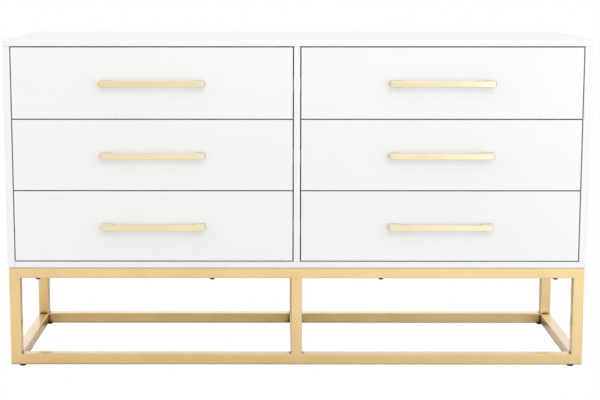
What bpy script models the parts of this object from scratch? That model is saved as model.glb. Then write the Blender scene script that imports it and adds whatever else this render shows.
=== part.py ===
"""A wide six-drawer dresser: a white lacquered case with inset drawers, on an open base of gold square tube.

Metres, +Z up. The front looks along -Y. The origin is on the floor, in the middle of the box that holds the
whole dresser, pulls included. Touching pieces keep a gap of FIT to each other.
"""

import math

import bmesh
import bpy
from mathutils import Vector

# Case
CASE_WIDTH = 1.500
CASE_DEPTH = 0.460
SIDE_THICKNESS = 0.018
TOP_THICKNESS = 0.016
BOTTOM_THICKNESS = 0.016
DIVIDER_THICKNESS = 0.016
BACK_THICKNESS = 0.005
BACK_REBATE = 0.008

# Drawers
ROWS = ("top", "middle", "bottom")
COLUMNS = ("left", "right")
FRONT_HEIGHT = 0.182
FRONT_THICKNESS = 0.016
FRONT_GAP = 0.003
BOX_WALL = 0.012
BOX_RISE = 0.016
BOX_HEADROOM = 0.026
BOX_REAR_SPACE = 0.039
BOX_FLOOR_THICKNESS = 0.006
BOX_FLOOR_RISE = 0.010

# Runners
RUNNER_SPACE = 0.0127
RUNNER_HEIGHT = 0.035
RUNNER_SHEET = 0.0012
RUNNER_TIP_GAP = 0.0014
RUNNING_GAP = 0.0004
RUNNER_SETBACK = 0.0015

# Pulls
PULL_LENGTH = 0.268
PULL_HEIGHT = 0.0145
PULL_THICKNESS = 0.012
PULL_PROJECTION = 0.032
PULL_FOOT = 0.028
PULL_END_RADIUS = 0.0045

# Base
TUBE = 0.028
TUBE_WALL = 0.002
BASE_FRAME_HEIGHT = 0.259
BASE_INSET = 0.0025
GLIDE_HEIGHT = 0.006
GLIDE_RADIUS = 0.009
GLIDE_TREAD_RADIUS = 0.0065
GLIDE_STEM_RADIUS = 0.004
GLIDE_STEM_LENGTH = 0.012
GLIDE_INSET = 0.028
BOLT_HOLE_RADIUS = 0.0034
BOLT_PILOT_COVER = 0.004
BOLT_END_INSET = 0.0725
BOLT_INNER_X = 0.220

FIT = 0.0003
CUT_MARGIN = 0.002
ROUND_SIDES = 24

# Worked out from the sizes above
FRONT_Y = (PULL_PROJECTION - CASE_DEPTH) / 2
BACK_Y = FRONT_Y + CASE_DEPTH
BASE_TOP = GLIDE_HEIGHT + BASE_FRAME_HEIGHT
FLOOR_OF_CASE = BASE_TOP + BOTTOM_THICKNESS
OPENING_HEIGHT = len(ROWS) * FRONT_HEIGHT + (len(ROWS) + 1) * FRONT_GAP
CEILING_OF_CASE = FLOOR_OF_CASE + OPENING_HEIGHT
CASE_TOP = CEILING_OF_CASE + TOP_THICKNESS
OPENING_WIDTH = (CASE_WIDTH - 2 * SIDE_THICKNESS - DIVIDER_THICKNESS) / 2
OPENING_CENTRE = (OPENING_WIDTH + DIVIDER_THICKNESS) / 2
BOX_WIDTH = OPENING_WIDTH - 2 * RUNNER_SPACE
BOX_DEPTH = CASE_DEPTH - FRONT_THICKNESS - BACK_THICKNESS - BOX_REAR_SPACE
BOX_HEIGHT = FRONT_HEIGHT - BOX_RISE - BOX_HEADROOM
RUNNER_LENGTH = BOX_DEPTH
RUNNER_FLANGE = RUNNER_SPACE - 2 * FIT - RUNNER_SHEET - RUNNER_TIP_GAP
BASE_HALF_WIDTH = CASE_WIDTH / 2 - BASE_INSET
BASE_FRONT_Y = FRONT_Y + BASE_INSET
BASE_BACK_Y = BACK_Y - BASE_INSET


def clear_scene() -> None:
    """Removes whatever the scene holds."""
    for obj in list(bpy.data.objects):
        bpy.data.objects.remove(obj)


def finish(name: str, colour: tuple, roughness: float, metallic: float) -> bpy.types.Material:
    """A plain Principled material."""
    material = bpy.data.materials.new(name)
    material.use_nodes = True
    shader = material.node_tree.nodes["Principled BSDF"]
    shader.inputs["Base Color"].default_value = (*colour, 1.0)
    shader.inputs["Roughness"].default_value = roughness
    shader.inputs["Metallic"].default_value = metallic
    return material


def place(mesh_builder: bmesh.types.BMesh, name: str, centre: Vector, material, parent) -> bpy.types.Object:
    """Makes an object of a mesh that is built around its own centre, and puts it there."""
    mesh = bpy.data.meshes.new(name)
    mesh_builder.to_mesh(mesh)
    mesh_builder.free()
    obj = bpy.data.objects.new(name, mesh)
    if material is not None:
        mesh.materials.append(material)
    bpy.context.collection.objects.link(obj)
    obj.parent = parent
    obj.location = centre - (parent.location if parent else Vector())
    return obj


def block(name: str, low: tuple, high: tuple, material=None, parent=None) -> bpy.types.Object:
    """A box between two corners."""
    low, high = Vector(low), Vector(high)
    builder = bmesh.new()
    bmesh.ops.create_cube(builder, size=1.0)
    bmesh.ops.scale(builder, vec=high - low, verts=builder.verts)
    return place(builder, name, (low + high) / 2, material, parent)


def peg(name: str, foot: tuple, radius: float, length: float) -> bpy.types.Object:
    """An upright round cutter, from its foot up."""
    builder = bmesh.new()
    bmesh.ops.create_cone(
        builder, cap_ends=True, segments=ROUND_SIDES, radius1=radius, radius2=radius, depth=length
    )
    return place(builder, name, Vector(foot) + Vector((0, 0, length / 2)), None, None)


def cut(obj: bpy.types.Object, *cutters: bpy.types.Object) -> bpy.types.Object:
    """Takes the cutters out of an object."""
    for cutter in cutters:
        cutter.hide_render = True
        cutter.display_type = "WIRE"
        modifier = obj.modifiers.new(cutter.name, "BOOLEAN")
        modifier.operation = "DIFFERENCE"
        modifier.solver = "EXACT"
        modifier.object = cutter
    return obj


def group_empty(name: str, location: tuple) -> bpy.types.Object:
    """An empty that a drawer's pieces hang on, on the line the drawer slides along."""
    empty = bpy.data.objects.new(name, None)
    empty.location = location
    bpy.context.collection.objects.link(empty)
    return empty


def build_case(white, board) -> None:
    """Top over the sides, bottom between them, divider in the middle and a thin back let into rebates behind."""
    half = CASE_WIDTH / 2
    inner = half - SIDE_THICKNESS
    rebate_y = BACK_Y - BACK_THICKNESS - FIT
    rebate_low = (-inner - BACK_REBATE, rebate_y, FLOOR_OF_CASE - BACK_REBATE)
    rebate_high = (inner + BACK_REBATE, BACK_Y + CUT_MARGIN, CEILING_OF_CASE + BACK_REBATE)
    rebate = block("back_rebate", rebate_low, rebate_high)
    top = block("top_panel", (-half, FRONT_Y, CEILING_OF_CASE), (half, BACK_Y, CASE_TOP), white)
    cut(top, rebate)
    for side, outer_x, inner_x in (("left", -half, -inner), ("right", half, inner)):
        low = (min(outer_x, inner_x), FRONT_Y, BASE_TOP + FIT)
        high = (max(outer_x, inner_x), BACK_Y, CEILING_OF_CASE - FIT)
        cut(block(f"{side}_side_panel", low, high, white), rebate)
    bottom = block(
        "bottom_panel",
        (-inner + FIT, FRONT_Y, BASE_TOP + FIT),
        (inner - FIT, BACK_Y, FLOOR_OF_CASE),
        white,
    )
    pilot_depth = BOTTOM_THICKNESS - BOLT_PILOT_COVER + CUT_MARGIN
    pilots = [
        peg(f"bottom_pilot_{index}", (x, y, BASE_TOP - CUT_MARGIN), BOLT_HOLE_RADIUS, pilot_depth)
        for index, (x, y) in enumerate(bolt_places())
    ]
    cut(bottom, rebate, *pilots)
    block(
        "centre_divider",
        (-DIVIDER_THICKNESS / 2, FRONT_Y, FLOOR_OF_CASE + FIT),
        (DIVIDER_THICKNESS / 2, rebate_y, CEILING_OF_CASE - FIT),
        white,
    )
    block(
        "back_panel",
        (-inner - BACK_REBATE + FIT, BACK_Y - BACK_THICKNESS, FLOOR_OF_CASE - BACK_REBATE + FIT),
        (inner + BACK_REBATE - FIT, BACK_Y, CEILING_OF_CASE + BACK_REBATE - FIT),
        board,
    )


def bolt_places() -> list:
    """Where the bolts go up through the front and back frames into the case."""
    rows = (BASE_FRONT_Y + TUBE / 2, BASE_BACK_Y - TUBE / 2)
    outer_x = BASE_HALF_WIDTH - BOLT_END_INSET
    return [(x, y) for y in rows for x in (-outer_x, -BOLT_INNER_X, BOLT_INNER_X, outer_x)]


def glide_places() -> list:
    """Name and place of each floor glide."""
    x = BASE_HALF_WIDTH - GLIDE_INSET
    rows = (("front", BASE_FRONT_Y + TUBE / 2), ("back", BASE_BACK_Y - TUBE / 2))
    return [(f"{row}_{side}_glide", sign * x, y) for row, y in rows for side, sign in (("left", -1), ("right", 1))]


def frame_shape(name: str, front_y: float, wall: float, material=None) -> bpy.types.Object:
    """Two long rails and three legs in one plane, drawn in by wall on every face."""
    half, low_z, high_z = BASE_HALF_WIDTH - wall, GLIDE_HEIGHT + wall, BASE_TOP - wall
    plate = block(name, (-half, front_y + wall, low_z), (half, front_y + TUBE - wall, high_z), material)
    windows = []
    for side, sign in (("left", -1), ("right", 1)):
        ends = sorted((sign * (TUBE / 2 - wall), sign * (BASE_HALF_WIDTH - TUBE + wall)))
        low = (ends[0], front_y - CUT_MARGIN, GLIDE_HEIGHT + TUBE - wall)
        high = (ends[1], front_y + TUBE + CUT_MARGIN, BASE_TOP - TUBE + wall)
        windows.append(block(f"{name}_{side}_window", low, high))
    return cut(plate, *windows)


def build_base_frame(name: str, front_y: float, gold) -> None:
    """A welded frame of square tube, hollow right round, with holes for the glides and the bolts."""
    frame = frame_shape(name, front_y, 0.0, gold)
    hollow = frame_shape(f"{name}_hollow", front_y, TUBE_WALL)
    cut(frame, hollow)
    for glide, x, y in glide_places():
        if front_y < y < front_y + TUBE:
            hole_top = TUBE_WALL + 2 * CUT_MARGIN
            hole = peg(f"{glide}_hole", (x, y, GLIDE_HEIGHT - CUT_MARGIN), GLIDE_STEM_RADIUS + FIT, hole_top)
            cut(frame, hole)
    for index, (x, y) in enumerate(bolt_places()):
        if front_y < y < front_y + TUBE:
            foot = (x, y, BASE_TOP - TUBE - CUT_MARGIN)
            cut(frame, peg(f"{name}_bolt_hole_{index}", foot, BOLT_HOLE_RADIUS, TUBE + 2 * CUT_MARGIN))


def build_cross_rail(name: str, centre_x: float, low_z: float, high_z: float, gold) -> None:
    """A length of square tube, front to back between the two frames."""
    low_y, high_y = BASE_FRONT_Y + TUBE + FIT, BASE_BACK_Y - TUBE - FIT
    low_x, high_x = centre_x - TUBE / 2, centre_x + TUBE / 2
    rail = block(name, (low_x, low_y, low_z), (high_x, high_y, high_z), gold)
    bore_low = (low_x + TUBE_WALL, low_y - CUT_MARGIN, low_z + TUBE_WALL)
    bore_high = (high_x - TUBE_WALL, high_y + CUT_MARGIN, high_z - TUBE_WALL)
    cut(rail, block(f"{name}_bore", bore_low, bore_high))


def build_glide(name: str, x: float, y: float, black) -> None:
    """A round black foot with a domed tread, on a stem that screws into the frame."""
    seat = GLIDE_HEIGHT - FIT
    shoulder = seat * 2 / 3
    arc_steps = 4
    profile = [Vector((0, 0, 0)), Vector((GLIDE_TREAD_RADIUS, 0, 0))]
    for step in range(1, arc_steps + 1):
        turn = math.pi / 2 * step / arc_steps
        reach = GLIDE_TREAD_RADIUS + (GLIDE_RADIUS - GLIDE_TREAD_RADIUS) * math.sin(turn)
        profile.append(Vector((reach, 0, shoulder * (1 - math.cos(turn)))))
    profile.append(Vector((GLIDE_RADIUS, 0, seat)))
    profile.append(Vector((GLIDE_STEM_RADIUS, 0, seat)))
    profile.append(Vector((GLIDE_STEM_RADIUS, 0, seat + GLIDE_STEM_LENGTH)))
    profile.append(Vector((0, 0, seat + GLIDE_STEM_LENGTH)))
    builder = bmesh.new()
    points = [builder.verts.new(point) for point in profile]
    lines = [builder.edges.new(pair) for pair in zip(points, points[1:])]
    bmesh.ops.spin(
        builder, geom=points + lines, cent=(0, 0, 0), axis=(0, 0, 1), angle=2 * math.pi, steps=ROUND_SIDES
    )
    bmesh.ops.remove_doubles(builder, verts=builder.verts, dist=0.00001)
    bmesh.ops.recalc_face_normals(builder, faces=builder.faces)
    glide = place(builder, name, Vector((x, y, 0)), black, None)
    glide.data.shade_smooth()
    glide.data.set_sharp_from_angle(angle=math.radians(35))


def build_base(gold, black) -> None:
    """Front and back frames, three cross rails below and three above, and four glides."""
    build_base_frame("front_base_frame", BASE_FRONT_Y, gold)
    build_base_frame("back_base_frame", BASE_BACK_Y - TUBE, gold)
    outer_x = BASE_HALF_WIDTH - TUBE / 2
    for side, x in (("left", -outer_x), ("centre", 0.0), ("right", outer_x)):
        build_cross_rail(f"{side}_bottom_rail", x, GLIDE_HEIGHT, GLIDE_HEIGHT + TUBE, gold)
        build_cross_rail(f"{side}_top_rail", x, BASE_TOP - TUBE, BASE_TOP, gold)
    for name, x, y in glide_places():
        build_glide(name, x, y, black)


def build_runner(name: str, web_x: float, reach: float, height: float, z: float, steel, parent) -> None:
    """A channel of bent sheet. Its web stands at web_x, and its flanges reach from there along X."""
    direction = math.copysign(1.0, reach)
    sheet = direction * RUNNER_SHEET
    half, inner_half = height / 2, height / 2 - RUNNER_SHEET
    outline = [
        (0, -half),
        (reach, -half),
        (reach, -inner_half),
        (sheet, -inner_half),
        (sheet, inner_half),
        (reach, inner_half),
        (reach, half),
        (0, half),
    ]
    builder = bmesh.new()
    points = [builder.verts.new((x, -RUNNER_LENGTH / 2, up)) for x, up in outline]
    end = builder.faces.new(points)
    grown = bmesh.ops.extrude_face_region(builder, geom=[end])
    moved = [item for item in grown["geom"] if isinstance(item, bmesh.types.BMVert)]
    bmesh.ops.translate(builder, vec=(0, RUNNER_LENGTH, 0), verts=moved)
    bmesh.ops.recalc_face_normals(builder, faces=builder.faces)
    middle_y = FRONT_Y + FRONT_THICKNESS + RUNNER_SETBACK + RUNNER_LENGTH / 2
    place(builder, name, Vector((web_x, middle_y, z)), steel, parent)


def build_runners(drawer: str, centre_x: float, z: float, steel, parent) -> None:
    """On each side a fixed channel on the case, and inside it the drawer's own, facing it."""
    inner_height = RUNNER_HEIGHT - 2 * (RUNNER_SHEET + RUNNING_GAP)
    for side, sign in (("left", -1), ("right", 1)):
        wall = centre_x + sign * OPENING_WIDTH / 2
        fixed_x = wall - sign * FIT
        moving_x = wall - sign * (RUNNER_SPACE - FIT)
        build_runner(
            f"{drawer}_cabinet_runner_{side}", fixed_x, -sign * RUNNER_FLANGE, RUNNER_HEIGHT, z, steel, None
        )
        build_runner(
            f"{drawer}_drawer_runner_{side}", moving_x, sign * RUNNER_FLANGE, inner_height, z, steel, parent
        )


def build_box(drawer: str, centre_x: float, low_z: float, timber, parent) -> None:
    """Four walls round a floor that sits a little above their lower edges."""
    half = BOX_WIDTH / 2
    front_y = FRONT_Y + FRONT_THICKNESS + FIT
    back_y = front_y + BOX_DEPTH
    high_z = low_z + BOX_HEIGHT
    box = block(
        f"{drawer}_box", (centre_x - half, front_y, low_z), (centre_x + half, back_y, high_z), timber, parent
    )
    inner_low = (centre_x - half + BOX_WALL, front_y + BOX_WALL)
    inner_high = (centre_x + half - BOX_WALL, back_y - BOX_WALL)
    floor_low = low_z + BOX_FLOOR_RISE
    floor_high = floor_low + BOX_FLOOR_THICKNESS
    inside = block(f"{drawer}_inside", (*inner_low, floor_high), (*inner_high, high_z + CUT_MARGIN), None, parent)
    below = block(f"{drawer}_below", (*inner_low, low_z - CUT_MARGIN), (*inner_high, floor_low), None, parent)
    cut(box, inside, below)


def build_pull(drawer: str, centre_x: float, z: float, gold, parent) -> None:
    """A flat-faced bar on two broad feet, with the bar's outer corners rounded."""
    half = PULL_LENGTH / 2
    root_y = -FIT
    front_y = -PULL_PROJECTION
    gap_y = front_y + PULL_THICKNESS
    outline = [
        (-half, root_y),
        (-half, front_y),
        (half, front_y),
        (half, root_y),
        (half - PULL_FOOT, root_y),
        (half - PULL_FOOT, gap_y),
        (-half + PULL_FOOT, gap_y),
        (-half + PULL_FOOT, root_y),
    ]
    builder = bmesh.new()
    points = [builder.verts.new((x, y, -PULL_HEIGHT / 2)) for x, y in outline]
    grown = bmesh.ops.extrude_face_region(builder, geom=[builder.faces.new(points)])
    moved = [item for item in grown["geom"] if isinstance(item, bmesh.types.BMVert)]
    bmesh.ops.translate(builder, vec=(0, 0, PULL_HEIGHT), verts=moved)
    corners = [
        edge
        for edge in builder.edges
        if all(abs(abs(v.co.x) - half) < FIT and abs(v.co.y - front_y) < FIT for v in edge.verts)
    ]
    bmesh.ops.bevel(
        builder, geom=corners, offset=PULL_END_RADIUS, offset_type="OFFSET", segments=4, profile=0.5, affect="EDGES"
    )
    bmesh.ops.recalc_face_normals(builder, faces=builder.faces)
    place(builder, f"{drawer}_pull", Vector((centre_x, FRONT_Y, z)), gold, parent)


def build_drawers(white, timber, steel, brass) -> None:
    """Six drawers, three rows in two columns."""
    front_width = OPENING_WIDTH - 2 * FRONT_GAP
    for column, sign in zip(COLUMNS, (-1, 1)):
        centre_x = sign * OPENING_CENTRE
        for index, row in enumerate(ROWS):
            drawer = f"{row}_{column}_drawer"
            high_z = CEILING_OF_CASE - FRONT_GAP - index * (FRONT_HEIGHT + FRONT_GAP)
            low_z = high_z - FRONT_HEIGHT
            middle_z = (low_z + high_z) / 2
            box_low = low_z + BOX_RISE
            parent = group_empty(f"{drawer}_slide", (centre_x, FRONT_Y, middle_z))
            block(
                f"{drawer}_front",
                (centre_x - front_width / 2, FRONT_Y, low_z),
                (centre_x + front_width / 2, FRONT_Y + FRONT_THICKNESS, high_z),
                white,
                parent,
            )
            build_box(drawer, centre_x, box_low, timber, parent)
            build_pull(drawer, centre_x, middle_z, brass, parent)
            build_runners(drawer, centre_x, box_low + BOX_HEIGHT / 2, steel, parent)


def main() -> None:
    """Builds the whole dresser."""
    clear_scene()
    white = finish("white_lacquer", (0.90, 0.90, 0.89), 0.28, 0.0)
    board = finish("back_board", (0.80, 0.80, 0.78), 0.55, 0.0)
    timber = finish("drawer_timber", (0.72, 0.56, 0.38), 0.55, 0.0)
    steel = finish("zinc_steel", (0.62, 0.63, 0.64), 0.35, 1.0)
    gold = finish("gold_lacquered_steel", (0.78, 0.56, 0.27), 0.35, 0.9)
    brass = finish("pale_brass", (0.85, 0.70, 0.42), 0.30, 1.0)
    black = finish("black_plastic", (0.02, 0.02, 0.02), 0.45, 0.0)
    build_case(white, board)
    build_base(gold, black)
    build_drawers(white, timber, steel, brass)


main()
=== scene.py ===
"""The six-drawer dresser as it looks: lacquered boards, a gold tube base, bar pulls and drawers on runners.

Every piece takes its place from the solid that it stands for. Metres, +Z up, and the front looks along -Y.
"""

import logging
import math
from contextlib import contextmanager
from dataclasses import dataclass, field, replace
from enum import Enum
from typing import Callable, Iterable, Iterator

import bpy
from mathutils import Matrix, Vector


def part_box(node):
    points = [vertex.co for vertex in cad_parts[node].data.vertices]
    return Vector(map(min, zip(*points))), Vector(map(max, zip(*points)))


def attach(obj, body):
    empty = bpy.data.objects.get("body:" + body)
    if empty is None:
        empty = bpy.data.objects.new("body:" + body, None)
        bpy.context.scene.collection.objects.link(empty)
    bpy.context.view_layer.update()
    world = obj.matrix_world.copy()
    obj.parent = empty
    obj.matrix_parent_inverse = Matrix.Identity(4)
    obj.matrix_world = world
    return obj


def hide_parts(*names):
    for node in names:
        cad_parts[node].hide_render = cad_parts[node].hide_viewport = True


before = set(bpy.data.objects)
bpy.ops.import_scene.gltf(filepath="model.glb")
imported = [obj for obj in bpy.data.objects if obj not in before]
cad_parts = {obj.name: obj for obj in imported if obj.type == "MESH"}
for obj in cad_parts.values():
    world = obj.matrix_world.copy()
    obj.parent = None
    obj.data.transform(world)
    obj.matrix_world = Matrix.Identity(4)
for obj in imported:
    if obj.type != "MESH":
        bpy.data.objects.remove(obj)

LOG = logging.getLogger("dresser")
CABINET = "cabinet"

# Points closer than this count as one
MERGE_DISTANCE = 0.00001
# How far a cutter goes past what it cuts, and the gap between pieces that only just don't touch
OVERCUT = 0.002
PLAY = 0.0002
# Faces that turn by less than this are merged, and edges that turn by less than the second are shaded smooth
FLAT_ANGLE = math.radians(0.5)
SMOOTH_ANGLE = math.radians(35)
# The range that nearly all of a noise lies in
NOISE_ENDS = (0.3, 0.7)
PURE_WHITE = (1.0, 1.0, 1.0)
PURE_BLACK = (0.0, 0.0, 0.0)

Piece = bpy.types.Object
Socket = bpy.types.NodeSocket
Test = Callable[[list], bool]


class Along(Enum):
    """The way that grain, brushing or a shaft runs."""

    X = 0
    Y = 1
    Z = 2

    def unit(self) -> Vector:
        """The unit vector that points this way."""
        return Vector([float(other is self) for other in Along])


class Side(Enum):
    """Which side of the dresser or of a drawer, seen from the front."""

    LEFT = -1
    RIGHT = 1

    @property
    def word(self) -> str:
        """The side's name as the pieces use it."""
        return self.name.lower()


@dataclass(frozen=True)
class Noise:
    """A cloudy pattern, with its scale in lumps a metre, and across its grain another scale where it has one.

    A tone follows the pattern between its two ends, down to its floor.
    """

    scale: float
    across: float = 0.0
    grain: Along = Along.X
    detail: float = 3.0
    distortion: float = 0.0
    floor: float = 0.0
    ends: tuple = NOISE_ENDS


class NodeSheet:
    """The nodes of one material, or of the world, with short calls that add and join them."""

    def __init__(self, owner: bpy.types.ID, shader: str = "Principled BSDF") -> None:
        """Opens the nodes.

        Args:
            owner: The material or the world.
            shader: The name of the shader that it starts with.
        """
        owner.use_nodes = True
        self.owner = owner
        self.tree = owner.node_tree
        self.shader = self.tree.nodes[shader]
        self.coordinates = self.tree.nodes.new("ShaderNodeTexCoord").outputs
        self.place = self.coordinates["Object"]
        self.noises = {}

    def feed(self, socket: Socket, value: Socket | Vector | float | tuple) -> None:
        """Joins a node's output to a socket, or sets the socket's own value.

        Args:
            socket: The socket.
            value: The output or the value. A tuple is a colour.
        """
        if isinstance(value, Socket):
            self.tree.links.new(value, socket)
        else:
            socket.default_value = (*value, 1.0) if isinstance(value, tuple) else value

    def shade(self, **values: Socket | float | tuple) -> None:
        """Feeds sockets of the shader, each named with _ for a space."""
        for name, value in values.items():
            self.feed(self.shader.inputs[name.replace("_", " ")], value)

    def node(self, kind: str, inputs: dict, **settings: str | int) -> bpy.types.Node:
        """Adds a node.

        Args:
            kind: Its type.
            inputs: What each of its sockets is fed with.
            settings: Its own settings.

        Returns:
            The node.
        """
        node = self.tree.nodes.new(f"ShaderNode{kind}")
        for name, value in settings.items():
            setattr(node, name, value)
        for name, value in inputs.items():
            self.feed(node.inputs[name], value)
        return node

    def stretched(self, axis: Along, along: float, across: float) -> Socket:
        """The object's own coordinates, scaled one way along an axis and another way across it."""
        scale = Vector([along if other is axis else across for other in Along])
        return self.node("Mapping", {"Vector": self.place, "Scale": scale}).outputs["Vector"]

    def noise(self, pattern: Noise) -> Socket:
        """A noise's value from 0 to 1, made once.

        Args:
            pattern: The noise.

        Returns:
            The value.
        """
        if pattern not in self.noises:
            vector, scale = self.place, pattern.scale
            if pattern.across:
                vector, scale = self.stretched(pattern.grain, pattern.scale, pattern.across), 1.0
            inputs = {"Vector": vector, "Scale": scale, "Detail": pattern.detail}
            node = self.node("TexNoise", inputs | {"Distortion": pattern.distortion})
            self.noises[pattern] = node.outputs["Fac"]
        return self.noises[pattern]

    def product(self, value: Socket, *others: Socket) -> Socket:
        """Several values multiplied."""
        for other in others:
            value = self.node("Math", {0: value, 1: other}, operation="MULTIPLY").outputs["Value"]
        return value

    def remapped(
        self, value: Socket, low: float, high: float, ends: tuple = NOISE_ENDS, **settings: str
    ) -> Socket:
        """A value moved to another range: low at the first of its own ends, and high at the second."""
        inputs = {"Value": value, "From Min": ends[0], "From Max": ends[1], "To Min": low, "To Max": high}
        return self.node("MapRange", inputs, **settings).outputs["Result"]

    def tinted(self, share: Socket, first: tuple | Socket, second: tuple | Socket) -> Socket:
        """A colour between two.

        Args:
            share: The second's share, from 0 to 1.
            first: One colour.
            second: The other.

        Returns:
            The colour.
        """
        node = self.node("Mix", {"Factor": share}, data_type="RGBA")
        colours = [socket for socket in (*node.inputs, *node.outputs) if socket.type == "RGBA"]
        self.feed(colours[0], first)
        self.feed(colours[1], second)
        return colours[2]

    def faded(self, middle: tuple, size: tuple, ends: tuple, inner: tuple | Socket, outer: tuple) -> Socket:
        """A colour inside an oval that fades to another outside it.

        Args:
            middle: The oval's middle.
            size: Half of its length along each axis.
            ends: Where the fading starts and ends, with 1 on the oval's edge.
            inner: The colour inside.
            outer: The colour outside.

        Returns:
            The colour.
        """
        inputs = {"Vector": self.place, "Location": Vector(middle), "Scale": Vector(size)}
        mapped = self.node("Mapping", inputs, vector_type="TEXTURE").outputs["Vector"]
        distance = self.node("VectorMath", {0: mapped}, operation="LENGTH").outputs["Value"]
        return self.tinted(self.remapped(distance, 0.0, 1.0, ends), inner, outer)


@dataclass(frozen=True)
class Finish:
    """A finish, which belongs to one of the record's slots and lies between a light tone and a darker shade.

    Its wear is the pattern of its roughness, and of its tone and its relief where they have none of their
    own. Roughness is the least and the greatest, relief a strength and a depth in metres, and coat a weight
    and a roughness.
    """

    name: str
    slot: str
    light: tuple
    shade: tuple
    wear: Noise
    roughness: tuple
    relief: tuple
    tones: tuple = ()
    raised: Noise | None = None
    coat: tuple = (0.0, 0.03)
    metallic: float = 0.0

    def material(self) -> bpy.types.Material:
        """The finish's material, made once."""
        made = bpy.data.materials.get(self.name)
        return made or self.mixed(NodeSheet(bpy.data.materials.new(self.name)))

    def mixed(self, sheet: NodeSheet) -> bpy.types.Material:
        """Fills the material's nodes.

        Args:
            sheet: The material's nodes.

        Returns:
            The material.
        """
        roughness = sheet.remapped(sheet.noise(self.wear), *self.roughness)
        sheet.shade(Metallic=self.metallic, Coat_Weight=self.coat[0], Coat_Roughness=self.coat[1])
        sheet.shade(Base_Color=self.colour(sheet), Roughness=roughness)
        strength, depth = self.relief
        if depth > 0.0:
            height = sheet.noise(self.raised or self.wear)
            bump = sheet.node("Bump", {"Height": height, "Strength": strength, "Distance": depth})
            sheet.shade(Normal=bump.outputs["Normal"])
        return sheet.owner

    def colour(self, sheet: NodeSheet) -> Socket:
        """The finish's colour, between its two tones."""
        return sheet.tinted(self.tone(sheet), self.shade, self.light)

    def tone(self, sheet: NodeSheet) -> Socket:
        """The share of the lighter tone, from 0 to 1."""
        patterns = self.tones or (self.wear,)
        shares = [sheet.remapped(sheet.noise(one), one.floor, 1.0, one.ends) for one in patterns]
        return sheet.product(*shares)


@dataclass(frozen=True)
class Lacquer(Finish):
    """Satin white lacquer on smooth board: nearly even, with the fine orange peel of a sprayed coat."""

    light: tuple = (0.878, 0.874, 0.860)
    shade: tuple = (0.862, 0.858, 0.845)
    wear: Noise = Noise(30.0)
    roughness: tuple = (0.36, 0.46)
    relief: tuple = (0.35, 0.00005)
    tones: tuple = (Noise(2.5, detail=2.0),)
    raised: Noise = Noise(900.0, detail=2.0)
    coat: tuple = (0.15, 0.25)


@dataclass(frozen=True)
class Foil(Finish):
    """White foil pressed on thin fibreboard, slightly uneven, with a faint pattern of fibres along X."""

    light: tuple = (0.78, 0.78, 0.765)
    shade: tuple = (0.73, 0.73, 0.715)
    wear: Noise = Noise(60.0, 900.0, detail=4.0, distortion=0.4, floor=0.55)
    roughness: tuple = (0.52, 0.66)
    relief: tuple = (0.4, 0.00008)
    tones: tuple = (wear, Noise(6.0, floor=0.7))


@dataclass(frozen=True)
class GoldPlate(Finish):
    """Satin gold plating under clear lacquer, with soft clouds and the hair lines of a polishing wheel."""

    light: tuple = (0.85, 0.62, 0.29)
    shade: tuple = (0.80, 0.57, 0.25)
    wear: Noise = Noise(25.0, 1500.0, detail=2.0)
    roughness: tuple = (0.27, 0.40)
    relief: tuple = (0.25, 0.00004)
    tones: tuple = (Noise(9.0, distortion=0.6),)
    coat: tuple = (1.0, 0.15)
    coat_ior: float = 1.7
    metallic: float = 1.0
    # Painted shade: inside corners are tinted towards this dark tone as far as ambient occlusion reaches.
    corner_tone: tuple = (0.035, 0.018, 0.004)
    corner_reach: float = 0.020
    corner_ends: tuple = (0.48, 0.78)
    corner_samples: int = 16

    def colour(self, sheet: NodeSheet) -> Socket:
        """The gold, darkened by painted shade and left without coat deep in inside corners.

        Args:
            sheet: The material's nodes.

        Returns:
            The colour.
        """
        # Painted shade from ambient occlusion, which also takes the coat away in inside corners.
        occlusion_node = sheet.node("AmbientOcclusion", {"Distance": self.corner_reach}, samples=self.corner_samples)
        unshaded_share = sheet.remapped(occlusion_node.outputs["AO"], 0.0, 1.0, self.corner_ends)
        sheet.shade(Coat_Weight=unshaded_share, Coat_IOR=self.coat_ior)
        return sheet.tinted(unshaded_share, self.corner_tone, super().colour(sheet))


@dataclass(frozen=True)
class Timber(Finish):
    """Pale ply under clear lacquer: growth rings that run with the board, fine pores and darker ends."""

    light: tuple = (0.70, 0.53, 0.35)
    shade: tuple = (0.50, 0.34, 0.19)
    wear: Noise = Noise(35.0, 1100.0, floor=0.7)
    roughness: tuple = (0.42, 0.60)
    relief: tuple = (0.5, 0.00012)
    coat: tuple = (0.12, 0.3)
    trunk: tuple = (0.9, 9.0)
    ring_scale: float = 2.2
    ring_distortion: float = 3.5
    ring_detail: tuple = (3.0, 1.5)
    ring_floor: float = 0.55
    end_grain: float = 0.25
    end_facing: tuple = (0.6, 0.9)

    def tone(self, sheet: NodeSheet) -> Socket:
        """Pores over rings, and darker on the ends of boards.

        Args:
            sheet: The material's nodes.

        Returns:
            The share of the lighter tone, from 0 to 1.
        """
        grain = self.wear.grain
        trunk = {"Vector": sheet.stretched(grain, *self.trunk), "Scale": self.ring_scale}
        trunk |= {"Distortion": self.ring_distortion}
        trunk |= dict(zip(("Detail", "Detail Scale"), self.ring_detail))
        wave = sheet.node("TexWave", trunk, wave_type="RINGS", rings_direction=grain.name, wave_profile="SAW")
        rings = sheet.remapped(wave.outputs["Fac"], self.ring_floor, 1.0, (0.0, 1.0))
        normal = sheet.node("SeparateXYZ", {"Vector": sheet.coordinates["Normal"]}).outputs[grain.name]
        facing = sheet.node("Math", {0: normal}, operation="ABSOLUTE").outputs["Value"]
        ends = sheet.remapped(facing, 1.0, self.end_grain, self.end_facing)
        return sheet.product(super().tone(sheet), rings, ends)


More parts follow.
